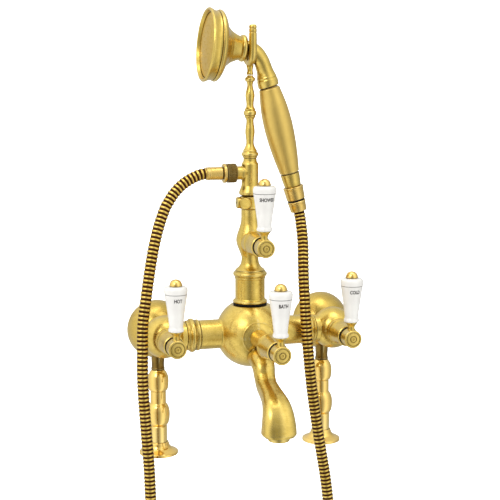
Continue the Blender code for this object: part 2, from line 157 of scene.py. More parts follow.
def flare(ball_r, boss_r, fillet, steps=8):
    """Concave outline from a ball's surface up to a boss that stands on it."""
    reach = boss_r + fillet
    height = sqrt((ball_r + fillet) ** 2 - reach ** 2)
    last = pi + atan2(height, reach)
    points = []
    for k in range(steps + 1):
        turn = last + (pi - last) * k / steps
        points.append((reach + fillet * cos(turn), height + fillet * sin(turn)))
    return points


def bead(radius, centre, half, bulge, steps=6):
    """Half-round ring that stands out of a turned surface of the given radius."""
    return [(radius + bulge * sin(pi * k / steps), centre - half * cos(pi * k / steps))
            for k in range(steps + 1)]


# ================================================================ meshes

def link_mesh(name, verts, faces):
    mesh = bpy.data.meshes.new(name)
    mesh.from_pydata([tuple(v) for v in verts], [], [tuple(f) for f in faces])
    bm = bmesh.new()
    bm.from_mesh(mesh)
    bmesh.ops.recalc_face_normals(bm, faces=bm.faces)
    bm.to_mesh(mesh)
    bm.free()
    obj = bpy.data.objects.new(name, mesh)
    bpy.context.collection.objects.link(obj)
    return obj


def ring_faces(first, second, count):
    """Quads between two rings, given by their first vertex's number."""
    return [(first + i, first + (i + 1) % count, second + (i + 1) % count, second + i)
            for i in range(count)]


def aim(obj, at, axis):
    obj.location = Vector(at) * MM
    obj.rotation_mode = "QUATERNION"
    direction = Vector(AXES[axis] if isinstance(axis, str) else axis)
    obj.rotation_quaternion = Vector((0, 0, 1)).rotation_difference(direction)


def lathe(name, outline, at=(0, 0, 0), axis="+Z", sides=72, relief=None):
    """Turn an outline about an axis. relief(angle, height) adds to the radius, for knurls."""
    turns = [2 * pi * i / sides for i in range(sides)]
    verts, faces, rings = [], [], []
    for radius, height in outline:
        rings.append((len(verts), radius == 0))
        if radius == 0:
            verts.append((0, 0, height * MM))
            continue
        for turn in turns:
            r = (radius + (relief(turn, height) if relief else 0)) * MM
            verts.append((r * cos(turn), r * sin(turn), height * MM))
    if outline[0][0] != 0:
        rings.append(rings[0])
    for (low, low_pole), (high, high_pole) in zip(rings, rings[1:]):
        if low_pole and high_pole:
            continue
        if low_pole:
            faces += [(low, high + i, high + (i + 1) % sides) for i in range(sides)]
        elif high_pole:
            faces += [(low + i, low + (i + 1) % sides, high) for i in range(sides)]
        else:
            faces += ring_faces(low, high, sides)
    obj = link_mesh(name, verts, faces)
    aim(obj, at, axis)
    return obj


def sweep(name, stations, across, section, sides=48, steps=8):
    """Skin sections along a path in a plane: stations are (x, y, z, half width, half depth).

    section(angle, t) gives a point of the unit section at the share t of the path.
    """
    across = Vector(across)
    rows = through(stations, steps)
    points = [Vector(row[:3]) for row in rows]
    verts, faces = [], []
    for i, row in enumerate(rows):
        ahead = points[min(i + 1, len(points) - 1)]
        behind = points[max(i - 1, 0)]
        normal = (ahead - behind).normalized().cross(across)
        for k in range(sides):
            u, v = section(2 * pi * k / sides, i / (len(rows) - 1))
            verts.append((points[i] + across * (u * row[3]) + normal * (v * row[4])) * MM)
    for i in range(len(rows) - 1):
        faces += ring_faces(i * sides, (i + 1) * sides, sides)
    faces.append(range(sides))
    faces.append(range((len(rows) - 1) * sides, len(rows) * sides))
    return link_mesh(name, verts, faces)


def round_section(angle, _):
    return cos(angle), sin(angle)


def combine(target, tool, operation="UNION"):
    """Join another mesh to the target, or cut it away, and drop the tool."""
    cut = target.modifiers.new(operation, "BOOLEAN")
    cut.operation = operation
    cut.object = tool
    cut.solver = "EXACT"
    graph = bpy.context.evaluated_depsgraph_get()
    mesh = bpy.data.meshes.new_from_object(target.evaluated_get(graph))
    target.modifiers.clear()
    target.data = mesh
    bpy.data.objects.remove(tool, do_unlink=True)


def finish_piece(obj, material, body, nodes=(), sharp=32):
    """Shade, paint and hang a finished piece on its body, in place of its CAD nodes."""
    mesh = obj.data
    mesh.materials.clear()
    mesh.materials.append(MATERIALS[material])
    mesh.shade_smooth()
    mesh.set_sharp_from_angle(angle=radians(sharp))
    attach(obj, body)
    if nodes:
        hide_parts(*nodes)
    return obj


def turned(node, outline, material, body, at=(0, 0, 0), axis="+Z", sides=72, relief=None):
    """The common case: one turned piece in place of the CAD node of the same name."""
    obj = lathe("fine_" + node, outline, at, axis, sides, relief)
    return finish_piece(obj, material, body, [node])


# ================================================================ materials

class Nodes:
    """Short calls for building one material's node tree."""

    def __init__(self, name):
        self.material = bpy.data.materials.new(name)
        self.material.use_nodes = True
        self.tree = self.material.node_tree
        self.shader = self.tree.nodes["Principled BSDF"]
        self.place = self.add("ShaderNodeTexCoord").outputs["Object"]

    def add(self, kind, **inputs):
        node = self.tree.nodes.new(kind)
        for key, value in inputs.items():
            self.feed(node.inputs[key.replace("_", " ")], value)
        return node

    def feed(self, socket, value):
        if isinstance(value, bpy.types.NodeSocket):
            self.tree.links.new(value, socket)
        else:
            socket.default_value = value

    def noise(self, scale, detail=3.0, stretch=(1, 1, 1), rough=0.55):
        scaled = self.add("ShaderNodeMapping", Vector=self.place, Scale=stretch)
        node = self.add("ShaderNodeTexNoise", Vector=scaled.outputs[0], Scale=scale,
                        Detail=detail, Roughness=rough)
        return node.outputs["Fac"]

    def ramp(self, factor, low, high, start=0.0, end=1.0):
        """Map factor from low..high onto start..end."""
        node = self.add("ShaderNodeMapRange")
        for key, value in zip(("Value", "From Min", "From Max", "To Min", "To Max"),
                              (factor, low, high, start, end)):
            self.feed(node.inputs[key], value)
        return node.outputs["Result"]

    def math(self, kind, a, b):
        node = self.add("ShaderNodeMath")
        node.operation = kind
        self.feed(node.inputs[0], a)
        self.feed(node.inputs[1], b)
        return node.outputs[0]

    def blend(self, factor, a, b, kind="MIX"):
        node = self.add("ShaderNodeMix")
        node.data_type = "RGBA"
        node.blend_type = kind
        for socket, value in zip((0, 6, 7), (factor, a, b)):
            self.feed(node.inputs[socket], value)
        return node.outputs[2]

    def bump(self, height, distance, strength=1.0):
        node = self.add("ShaderNodeBump", Height=height, Distance=distance, Strength=strength)
        self.feed(self.shader.inputs["Normal"], node.outputs[0])

    def set(self, **values):
        for key, value in values.items():
            self.feed(self.shader.inputs[key.replace("_", " ")], value)


def rgb(red, green, blue):
    return (red, green, blue, 1.0)


# dark brown for painted shade in grooves and next to other parts, with some tarnish
SHADE_AND_TARNISH = rgb(0.10, 0.055, 0.012)
# pale yellow for the painted highlight on convex edges
EDGE_HIGHLIGHT = rgb(0.92, 0.80, 0.42)


def brass(name, bright, deep, roughness, grain=0.5, tarnish=0.35, reach=0.0035, coat=0.2):
    """Worked brass: turned streaks, a cloudy lacquer, a painted highlight on convex edges, and painted shade
    with some tarnish in the grooves and next to other parts.

    reach is how far, in metres, a neighbouring surface casts painted shade on this one.
    """
    n = Nodes(name)
    streaks = n.noise(1.0, 3.0, (90, 90, 2300))
    cross = n.noise(1.0, 2.0, (700, 700, 60))
    clouds = n.noise(38, 4.0)
    blotches = n.noise(210, 3.0)
    specks = n.noise(1400, 2.0)
    # ambient occlusion: painted shade, with some tarnish, where other surfaces close in within reach
    open_sky = n.add("ShaderNodeAmbientOcclusion", Distance=reach)
    open_sky.samples = 6
    shade_and_tarnish_mask = n.ramp(open_sky.outputs["AO"], 0.85, 0.35)
    # painted highlight on convex edges, found by pointiness
    highlit_edges = n.ramp(n.add("ShaderNodeNewGeometry").outputs["Pointiness"], 0.50, 0.56)
    tone = n.math("ADD", n.math("MULTIPLY", n.ramp(clouds, 0.3, 0.7), tarnish),
                  n.math("MULTIPLY", n.ramp(streaks, 0.3, 0.7), 0.5 * grain))
    tone = n.math("ADD", tone, n.math("MULTIPLY", n.ramp(blotches, 0.4, 0.7), 0.5 * grain))
    colour = n.blend(tone, bright, deep)
    # darken towards dark brown: painted shade, with some tarnish
    colour = n.blend(n.math("MULTIPLY", shade_and_tarnish_mask, 0.85), colour, SHADE_AND_TARNISH)
    # lighten convex edges: painted highlight
    colour = n.blend(n.math("MULTIPLY", highlit_edges, 0.30), colour, EDGE_HIGHLIGHT)
    n.set(Base_Color=colour, Metallic=1.0, Coat_Weight=coat, Coat_Roughness=0.3,
          Roughness=n.math("ADD", n.ramp(specks, 0.3, 0.7, roughness - 0.05, roughness + 0.05),
                           n.ramp(blotches, 0.3, 0.7, -0.04, 0.05)))
    n.bump(n.math("ADD", n.math("MULTIPLY", streaks, grain), n.math("MULTIPLY", cross, 0.3 * grain)),
           0.00007, 0.6)
    return n.material


def hose_metal():
    """Gold crowns on the ribs, and painted shade in dark brown between them, from the mesh's own groove
    depth.
    """
    n = Nodes("hose_ribs")
    depth = n.add("ShaderNodeAttribute")
    depth.attribute_name = "groove"
    clouds = n.noise(60, 3.0)
    specks = n.noise(1500, 2.0)
    gold = n.blend(n.ramp(clouds, 0.3, 0.7), rgb(0.88, 0.63, 0.17), rgb(0.70, 0.47, 0.09))
    shade = n.ramp(depth.outputs["Fac"], 0.25, 0.75)
    # painted shade: deeper grooves turn dark brown, less metallic and rougher
    n.set(Base_Color=n.blend(shade, gold, rgb(0.050, 0.011, 0.002)), Specular_IOR_Level=0.15,
          Metallic=n.ramp(shade, 0.0, 1.0, 1.0, 0.5),
          Roughness=n.math("ADD", n.ramp(specks, 0.3, 0.7, 0.22, 0.34), n.math("MULTIPLY", shade, 0.3)))
    n.bump(specks, 0.00003, 0.4)
    return n.material


def porcelain():
    n = Nodes("porcelain")
    clouds = n.noise(45, 3.0)
    pits = n.noise(900, 2.0)
    n.set(Base_Color=n.blend(n.ramp(clouds, 0.35, 0.65), rgb(0.85, 0.82, 0.80), rgb(0.77, 0.735, 0.72)),
          Roughness=n.ramp(pits, 0.3, 0.7, 0.10, 0.18), IOR=1.52, Coat_Weight=0.6, Coat_Roughness=0.05)
    n.bump(clouds, 0.0004, 0.25)
    return n.material


def rubber():
    n = Nodes("black_rubber")
    grain = n.noise(1200, 3.0)
    n.set(Base_Color=n.blend(grain, rgb(0.006, 0.004, 0.003), rgb(0.016, 0.010, 0.008)),
          Roughness=n.ramp(grain, 0.3, 0.7, 0.5, 0.7), Specular_IOR_Level=0.15)
    n.bump(grain, 0.0001, 0.5)
    return n.material


def print_ink():
    n = Nodes("printed_ink")
    fade = n.noise(1500, 2.0)
    n.set(Base_Color=n.blend(n.ramp(fade, 0.4, 0.7), rgb(0.012, 0.009, 0.009), rgb(0.04, 0.03, 0.03)),
          Roughness=0.35, Specular_IOR_Level=0.1)
    return n.material


def paper():
    """Matte studio paper with a faint tooth, lit from inside towards the back of the room."""
    n = Nodes("studio_paper")
    tooth = n.noise(300, 2.0)
    back = n.add("ShaderNodeSeparateXYZ", Vector=n.place).outputs["Y"]
    n.set(Base_Color=n.blend(tooth, rgb(0.86, 0.86, 0.86), rgb(0.83, 0.83, 0.83)), Roughness=0.9,
          Emission_Color=rgb(1, 1, 1), Emission_Strength=n.ramp(back, 0.4, 1.1, 0.0, 0.75))
    return n.material


def make_materials():
    satin = rgb(0.83, 0.595, 0.155), rgb(0.53, 0.355, 0.05)
    # the bells' colours: a darker copy of the satin brass, painted shade
    bell = rgb(0.72, 0.50, 0.12), rgb(0.46, 0.30, 0.04)
    # the elbows' colours: a much darker copy of the brass, painted shade
    elbow = rgb(0.34, 0.21, 0.04), rgb(0.10, 0.05, 0.008)
    grip = rgb(0.76, 0.53, 0.14), rgb(0.64, 0.43, 0.09)
    polished = rgb(0.96, 0.66, 0.20), rgb(0.74, 0.46, 0.09)
    aged = rgb(0.22, 0.125, 0.012), rgb(0.06, 0.03, 0.003)
    fittings = rgb(0.80, 0.55, 0.16), rgb(0.58, 0.36, 0.08)
    rose = rgb(0.78, 0.51, 0.08), rgb(0.57, 0.35, 0.03)
    return {
        "brushed_brass": brass("brushed_brass", *satin, 0.28, 0.6, 0.4),
        # wider reach: painted shade on the bells next to the valve bodies
        "shaded_bell_brass": brass("shaded_bell_brass", *bell, 0.28, 0.6, 0.4, reach=0.014),
        # darker copy of the brass with a wider reach: painted shade under the valves
        "shaded_elbow_brass": brass("shaded_elbow_brass", *elbow, 0.24, 0.3, 0.6, reach=0.014),
        "grip_brass": brass("grip_brass", *grip, 0.42, 0.25, 0.2),
        # reach adds painted shade on the pillar tops under the valves
        "polished_brass": brass("polished_brass", *polished, 0.15, 0.12, 0.35, reach=0.008),
        "aged_brass": brass("aged_brass", *aged, 0.34, 0.4, 0.6),
        "hose_metal": brass("hose_fittings", *fittings, 0.26, 0.4),
        "hose_ribs": hose_metal(),
        "rose_metal": brass("rose_metal", *rose, 0.38, 0.4, 0.5, coat=0.05),
        "porcelain": porcelain(),
        "black_rubber": rubber(),
        "printed_ink": print_ink(),
    }


# ================================================================ hose

HOSE_R = 5.9
RIB_PITCH = 4.1
HOSE_ROUTE = [
    (-46.2, 0, 296.6), (-50.6, -0.2, 296), (-55.4, -0.5, 294.6), (-64.5, -1.3, 290.4),
    (-72.7, -2.4, 284.7), (-79.8, -3.8, 277.7), (-85.7, -5.5, 269.7), (-90.7, -7.4, 261),
    (-98, -11.1, 242.4), (-103.4, -14.7, 223.1), (-107.7, -18.1, 203.6), (-113, -22, 173.8),
    (-116.6, -24, 149), (-117.4, -25, 125), (-117.5, -25.5, 90), (-114.6, -25.5, 40),
    (-112.2, -25.5, 5), (-109.6, -25.5, -60), (-104.6, -25.5, -122), (-94.5, -25.5, -180),
    (-76, -25.5, -235), (-48, -25.5, -274), (-12, -25.5, -292), (25, -25.5, -284), (55, -25.5, -252),
    (73, -25.5, -203), (81, -25.5, -146), (81, -25.5, -86), (75.8, -25.5, -30), (66.8, -25.5, 24),
    (59, -25.5, 76), (54, -25, 126), (51.6, -23, 166), (51.8, -17.5, 197), (53.8, -9, 224),
    (53.8, -2.2, 243.5), (52.9, 0, 252.4), (52.4, 0, 255.1),
]


def even_path(points, spacing):
    """The same curve, as points an even distance apart."""
    dense = np.array(through(points, 24))
    reach = np.concatenate([[0], np.cumsum(np.linalg.norm(np.diff(dense, axis=0), axis=1))])
    count = round(reach[-1] / spacing)
    places = np.linspace(0, reach[-1], count + 1)
    return np.column_stack([np.interp(places, reach, dense[:, k]) for k in range(3)]), reach[-1]


def hose():
    """Ribbed metal hose: each rib is a rounded crown over the next one's narrow waist."""
    rings_per_rib = 8
    sides = 24
    path, length = even_path(HOSE_ROUTE, RIB_PITCH / rings_per_rib)
    tangents = np.gradient(path, axis=0)
    tangents /= np.linalg.norm(tangents, axis=1)[:, None]
    verts, faces, grooves = [], [], []
    side = Vector((0, 1, 0))
    for i, (place, tangent) in enumerate(zip(path, tangents)):
        ahead = Vector(tangent)
        side = (side - ahead * side.dot(ahead)).normalized()
        other = ahead.cross(side)
        share = (i % rings_per_rib) / rings_per_rib
        groove = min(1.0, max(0.0, (0.37 - abs(share - 0.5)) / 0.16))
        radius = HOSE_R * (1.012 - 0.10 * groove)
        for k in range(sides):
            turn = 2 * pi * k / sides
            out = side * (radius * cos(turn)) + other * (radius * sin(turn))
            verts.append((Vector(place) + out) * MM)
            grooves.append(groove)
    for i in range(len(path) - 1):
        faces += ring_faces(i * sides, (i + 1) * sides, sides)
    faces.append(range(sides))
    faces.append(range((len(path) - 1) * sides, len(path) * sides))
    obj = link_mesh("ribbed_hose", verts, faces)
    # groove depth per vertex, turned into painted shade by the hose_ribs material
    obj.data.attributes.new("groove", "FLOAT", "POINT").data.foreach_set("value", grooves)
    obj.data.materials.append(MATERIALS["hose_ribs"])
    obj.data.shade_smooth()
    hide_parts("hose")
    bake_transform(obj)


# ================================================================ mixer

def degrees_of(point):
    """Angle between the axis and a point of a flare, seen from the ball's centre."""
    return degrees(atan2(point[0], point[1]))


def mixer_body():
    """Ball with both cross tubes, the riser's seat, the bonnet's barrel and the spout's stub."""
    tube_end = ends("mixer_body", 0)[1]
    side = flare(BALL_R, TUBE_R, 2.6)
    edge = 90 - degrees_of(side[0])
    right = [*side, (TUBE_R, 40)]
    right += rounded([(TUBE_R, tube_end - 1.6), (TUBE_R, tube_end, 0.5), (11.4, tube_end)])
    left = [(r, -h) for r, h in reversed(right)]
    ball = arc(0, BALL_R, -edge, edge, 48)[1:-1]
    outline = [(0, -tube_end + 0.3), *left, *ball, *right, (0, tube_end - 0.3)]
    body = lathe("fine_mixer_body", outline, (0, 0, BAR_Z), "+X", 96)

    crown = [(0, 29.2), (18.8, 29.2), (19.8, 29.1), (20.6, 28.8), (21.4, 28.2), (44, 50), (0, 50)]
    combine(body, lathe("crown", crown, (0, 0, BAR_Z), "+Z", 96), "DIFFERENCE")

    boss = [(0, 12), (16.8, 12), *rounded([(16.8, 30.0), (16.8, 31.5, 0.4), (16.0, 32.0, 0.3), (12.6, 32.0),
                                           (10.6, 32.3, 0.4), (9.0, 34.2, 1.2), (8.7, 38.0)])]
    boss += [(8.5, 46.0), (8.5, 62.0), *rounded([(8.6, 68.4), (8.6, 69.7, 0.3), (0, 69.7)])]
    combine(body, lathe("boss", boss, (0, 0, BAR_Z), "-Y", 96))

    stub = [(0, 14), (10.6, 14), (10.6, 32.6), *rounded([(10.6, 33.2), (10.6, 34.3, 0.4), (0, 34.3)])]
    combine(body, lathe("stub", stub, (0, 0, 112.7), "-Y", 64))
    finish_piece(body, "brushed_brass", FIXED, ["mixer_body"])


def arm_collars():
    for side in ("hot", "cold"):
        outline = [(11.7, 54.6), *rounded([(14.6, 54.6), (15.4, 54.8, 0.3)])]
        outline += bead(15.3, 56.2, 1.3, 0.75)
        outline += rounded([(15.2, 57.7), (15.0, 58.4, 0.3), (15.9, 58.9, 0.2), (16.1, 59.4, 0.2)])
        outline += bead(15.6, 62.2, 2.5, 1.75, 10)
        outline += rounded([(15.4, 64.9), (15.1, 65.5, 0.3), (15.5, 66.1, 0.3), (15.2, 67.4, 0.5),
                            (14.4, 68.2, 0.3), (11.7, 68.2)])
        turned(side + "_arm_collar", outline, "brushed_brass", FIXED, (0, 0, BAR_Z),
               "+X" if side == "cold" else "-X", 96)


def valve_bodies():
    """Ball-shaped valve bodies with a spigot to the bar, a bonnet boss and a rear inlet."""
    for side, sign in (("hot", -1), ("cold", 1)):
        axis = "+X" if sign > 0 else "-X"
        neck = [(r, -h) for r, h in reversed(flare(VALVE_R, 14.1, 1.2))]
        start = -(90 - degrees_of(flare(VALVE_R, 14.1, 1.2)[0]))
        outline = [(0, 54.6), (11.2, 54.6), (11.2, 68.4)]
        outline += rounded([(13.0, 68.5), (14.1, 68.6, 0.3), (14.1, 70.4)])
        outline += [(r, REACH_X + h) for r, h in neck]
        outline += arc(REACH_X, VALVE_R, start, 90, 40)[1:-1] + [(0, REACH_X + VALVE_R)]
        body = lathe("fine_%s_valve" % side, outline, (0, 0, BAR_Z), axis, 96)
        at = (sign * REACH_X, 0, BAR_Z)
        boss = [(0, 8), (9, 14), *flare(VALVE_R - 0.05, 12.5, 1.0)]
        boss += rounded([(12.5, 21.6), (12.2, 22.5, 0.4), (0, 22.8)])
        combine(body, lathe("boss", boss, at, "-Y", 80))
        inlet = [(0, 8), (6, 12), *flare(VALVE_R - 0.05, 9.5, 1.2), (9.5, 23.6), (9.1, 24.0), (0, 24.0)]
        combine(body, lathe("inlet", inlet, at, "+Y", 64))
        finish_piece(body, "brushed_brass", FIXED, [side + "_valve_body"])


def bells():
    """Thin domed escutcheons with a rolled edge, notched below for the pillar's elbow."""
    outer_hole = 90 - degrees(asin(BELL_HOLE_R / BELL_R))
    inner_r = BELL_R - BELL_WALL
    inner_hole = 90 - degrees(asin(BELL_HOLE_R / inner_r))
    for side, sign in (("hot", -1), ("cold", 1)):
        outline = rounded([(inner_r + 0.4, 0.4), (inner_r + 0.5, 0, 0.2), (BELL_R - 0.2, 0, 0.5),
                           (BELL_R, 1.0)])
        outline += arc(0, BELL_R, 3, outer_hole, 30)
        outline += arc(0, inner_r, inner_hole, 2, 24)
        bell = lathe("fine_%s_bell" % side, outline, (sign * REACH_X, BELL_RIM_Y, BAR_Z), "-Y", 112)
        notch = [(0, 94), (7.6, 94), (7.6, 112), (0, 112)]
        combine(bell, lathe("notch", notch, (sign * REACH_X, PILLAR_Y, 0), "+Z", 48), "DIFFERENCE")
        # the bells wear a darker copy of the brass: painted shade
        finish_piece(bell, "shaded_bell_brass", FIXED, [side + "_escutcheon"])


def inlet_elbows():
    """Rear elbows: a nut on the valve's inlet, then a round knee down to the pillar's top."""
    for side, sign in (("hot", -1), ("cold", 1)):
        x = sign * REACH_X
        knee = [(0, 24.5), *rounded([(8.8, 24.5), (9.0, 25.2, 0.4), (9.0, 29.4, 0.5), (7.4, 30.4, 0.5)])]
        knee += [(7.4, 34.0), *arc(PILLAR_Y, 7.4, 0, 90, 12)[:-1], (0, PILLAR_Y + 7.4)]
        elbow = lathe("fine_%s_elbow" % side, knee, (x, 0, BAR_Z), "+Y", 64)
        drop = [(0, 90.3), *rounded([(6.6, 90.3), (7.1, 90.8, 0.3), (7.1, 92.0, 0.3), (6.6, 92.8, 0.3)])]
        drop += [(6.6, 97.0), (6.9, 101.0), (7.0, BAR_Z - 2), (0, BAR_Z - 2)]
        combine(elbow, lathe("drop", drop, (x, PILLAR_Y, 0), "+Z", 64))
        # the elbows wear a much darker copy of the brass: painted shade
        finish_piece(elbow, "shaded_elbow_brass", FIXED, [side + "_inlet_elbow"])


def pillars():
    """Turned legs with a ball below and a bell above, each in a flared flange."""
    leg = [(0, 0), (9.0, 0), (9.0, 29.2)]
    leg += rounded([(9.0, 29.4), (8.3, 30.4, 0.3), (9.3, 31.2, 0.3)])
    leg += through([(9.6, 31.5), (11.1, 34.4), (11.9, 39.0), (12.05, 43.0), (11.7, 47.0),
                    (10.4, 51.2), (9.0, 53.4)], 6)
    leg += rounded([(8.5, 54.0), (8.2, 55.0, 0.4), (8.2, 66.2), (7.7, 67.4, 0.3), (9.2, 68.2, 0.3)])
    leg += through([(9.6, 68.6), (10.6, 71.4), (11.0, 76.0), (11.0, 79.6), (10.4, 83.6),
                    (8.8, 87.2), (7.6, 88.8)], 6)
    leg += rounded([(7.3, 89.2), (7.0, 90.0, 0.2), (0, 90.0)])
    flange = [(9.4, 0), *rounded([(19.6, 0), (20.4, 0, 0.4), (20.4, 2.6, 0.7), (19.0, 3.5, 0.4)])]
    flange += through([(18.2, 3.9), (15.6, 4.9), (13.2, 6.4), (11.5, 8.9), (10.7, 11.2)], 6)
    flange += rounded([(10.5, 11.7), (10.2, 12.7, 0.4), (9.4, 12.8)])
    for side, sign in (("hot", -1), ("cold", 1)):
        at = (sign * REACH_X, PILLAR_Y, 0)
        turned(side + "_pillar", leg, "polished_brass", FIXED, at, "+Z", 72)
        turned(side + "_foot_flange", flange, "polished_brass", FIXED, at, "+Z", 96)


# ================================================================ spout

def spout_section(angle, t):
    """Rounded octagon that softens to a circle at the root, with a crease down the front."""
    c, s = cos(angle), sin(angle)
    power = 2.0 / (2.0 + 0.75 * min(1.0, t * 2.5))
    u = abs(c) ** power * (1 if c >= 0 else -1)
    v = abs(s) ** power * (1 if s >= 0 else -1)
    crease = 0.06 * exp(-(u / 0.20) ** 2) * min(1.0, t * 3)
    return u, v * (1 + crease)


def spout():
    path = [(0, -34.6, 112.8, 11.2, 9.4), (0, -35.6, 112.8, 11.5, 9.6), (0, -42.6, 111.4, 11.7, 9.6),
            (0, -50.4, 106.8, 11.2, 9.6), (0, -54.8, 97.6, 10.3, 9.4), (0, -61.8, 90.4, 10.2, 9.2),
            (0, -73.0, 86.4, 10.6, 9.2), (0, -84.6, 82.8, 11.7, 9.6), (0, -94.6, 78.0, 13.6, 10.4),
            (0, -100.8, 70.8, 15.2, 11.4), (0, -103.6, 61.8, 16.4, 12.4)]
    lip = [(55.4, 16.9, 13.2), (53.4, 16.9, 13.2), (52.2, 16.2, 12.8), (50.6, 14.6, 12.2)]
    path += [(0, -OUTLET_Y, *station) for station in lip]
    body = sweep("fine_spout", path, (1, 0, 0), spout_section, 64, 7)
    mouth = [(0, 44), (11.0, 44), (11.0, 60.5), (8.0, 64.0), (0, 64.0)]
    combine(body, lathe("mouth", mouth, (0, -OUTLET_Y, 0), "+Z", 64), "DIFFERENCE")
    finish_piece(body, "brushed_brass", FIXED, ["spout"], sharp=40)

    ring = [(7.8, 47.0), *rounded([(8.2, 46.6), (10.2, 46.6, 0.4), (10.6, 47.4, 0.3), (10.6, 58.0)])]
    ring += [(7.8, 58.0)]
    turned("aerator_ring", ring, "brushed_brass", FIXED, (0, -OUTLET_Y, 0), "+Z", 72)
    aerator_mesh()


def aerator_mesh():
    """Woven strainer inside the aerator ring, as crossed round wires."""
    verts, faces = [], []
    sides, reach, spacing, wire_r = 6, 7.5, 1.5, 0.22
    for along in (0, 1):
        for k in range(-4, 5):
            offset = k * spacing
            half = sqrt(max(reach ** 2 - offset ** 2, 0.2))
            first = len(verts)
            for end in (-half, half):
                for i in range(sides):
                    turn = 2 * pi * i / sides
                    up = 55.0 + wire_r * sin(turn) + 0.4 * along
                    flat = offset + wire_r * cos(turn)
                    x, y = (end, flat) if along == 0 else (flat, end)
                    verts.append((x * MM, (y - OUTLET_Y) * MM, up * MM))
            faces += ring_faces(first, first + sides, sides)
            faces.append(range(first, first + sides))
            faces.append(range(first + sides, first + 2 * sides))
    finish_piece(link_mesh("aerator_strainer", verts, faces), "aged_brass", FIXED)


# ================================================================ riser

def riser():
    gasket = [(0, 161.5), *rounded([(17.0, 161.5), (17.4, 162.2, 0.4), (17.0, 163.0)]), (0, 163.0)]
    turned("riser_gasket", gasket, "black_rubber", FIXED, sides=96)

    union = [(0, 163.3), *rounded([(17.0, 163.3), (17.5, 163.6, 0.3)]), *bead(17.0, 164.8, 1.2, 0.65)]
    union += rounded([(16.8, 166.3), (15.8, 166.8, 0.3), (15.3, 167.8, 0.5), (15.2, 169.0)])
    union += rounded([(15.2, 187.6), (15.4, 188.4, 0.3), (15.9, 188.9, 0.2), (15.9, 189.8, 0.2),
                      (15.5, 190.3, 0.2), (15.8, 190.8, 0.2)])
    union += bead(15.8, 193.2, 2.2, 1.6, 10)
    union += rounded([(15.8, 195.6), (15.6, 196.4, 0.3), (15.0, 196.6), (0, 196.6)])
    turned("riser_union_nut", union, "brushed_brass", FIXED, sides=96)

    outline = [(0, 196.9), *rounded([(14.9, 196.9), (15.0, 197.5, 0.3)])]
    outline += through([(14.8, 197.8), (13.6, 198.7), (12.2, 199.8), (10.9, 201.3), (9.7, 203.5),
                        (9.0, 206.2), (8.6, 209.2), (8.9, 211.2)], 6)
    outline += through([(9.2, 212.2), (10.3, 215.2), (12.0, 219.4), (13.5, 223.6), (14.15, 228.0),
                        (13.6, 232.2), (12.4, 236.2), (11.0, 240.2), (9.8, 244.2), (9.2, 248.0),
                        (9.0, 252.0)], 6)
    outline += rounded([(9.0, 258.8), (8.8, 259.7, 0.3), (0, 259.7)])
    body = lathe("fine_shower_valve", outline, sides=96)
    boss = [(0, 4), (7, 7), *flare(14.1, 11.7, 0.8)]
    boss += rounded([(11.7, 14.8), (11.4, 16.1, 0.4), (0, 16.4)])
    combine(body, lathe("boss", boss, (0, 0, SHOWER_Z), "-Y", 72))
    finish_piece(body, "brushed_brass", FIXED, ["shower_valve_body"])


def swivel_collar():
    collar = [(0, 260.0), *rounded([(9.9, 260.0), (10.6, 260.6, 0.4), (10.6, 262.0), (10.4, 262.4, 0.2),
                                    (10.4, 270.0), (10.6, 270.4, 0.2), (10.6, 271.9, 0.4), (9.9, 272.6)])]
    body = lathe("fine_swivel_collar", [*collar, (0, 272.6)], sides=72)
    centre = (0, 0, 266.4)
    turn = radians(37)
    towards = (-sin(turn), -cos(turn), 0)
    boss = [(0, 2), (5.7, 2)]
    boss += rounded([(5.7, 11.4), (5.8, 12.9, 0.5), (5.0, 13.5, 0.3), (4.2, 13.3, 0.2)])
    combine(body, lathe("boss", [*boss, (0, 13.6)], centre, towards, 48))
    pad = [(0, 2), *rounded([(5.9, 2), (5.9, 13.8, 0.5), (4.0, 14.2, 0.2), (0, 14.2)])]
    combine(body, lathe("pad", pad, centre, "-X", 48))
    socket = [(0, 12.6), (1.4, 12.6), (1.4, 15), (0, 15)]
    combine(body, lathe("socket", socket, centre, "-X", 6), "DIFFERENCE")
    finish_piece(body, "brushed_brass", FIXED, ["swivel_collar"])


def knurl(count, depth):
    """Crossed diagonal ridges round a nut, as a change of radius."""
    def relief(turn, height):
        twist = height * 1.1
        first = abs(sin(count * turn / 2 + twist * pi / 2))
        second = abs(sin(count * turn / 2 - twist * pi / 2))
        return depth * (min(first, second) - 0.5)
    return relief


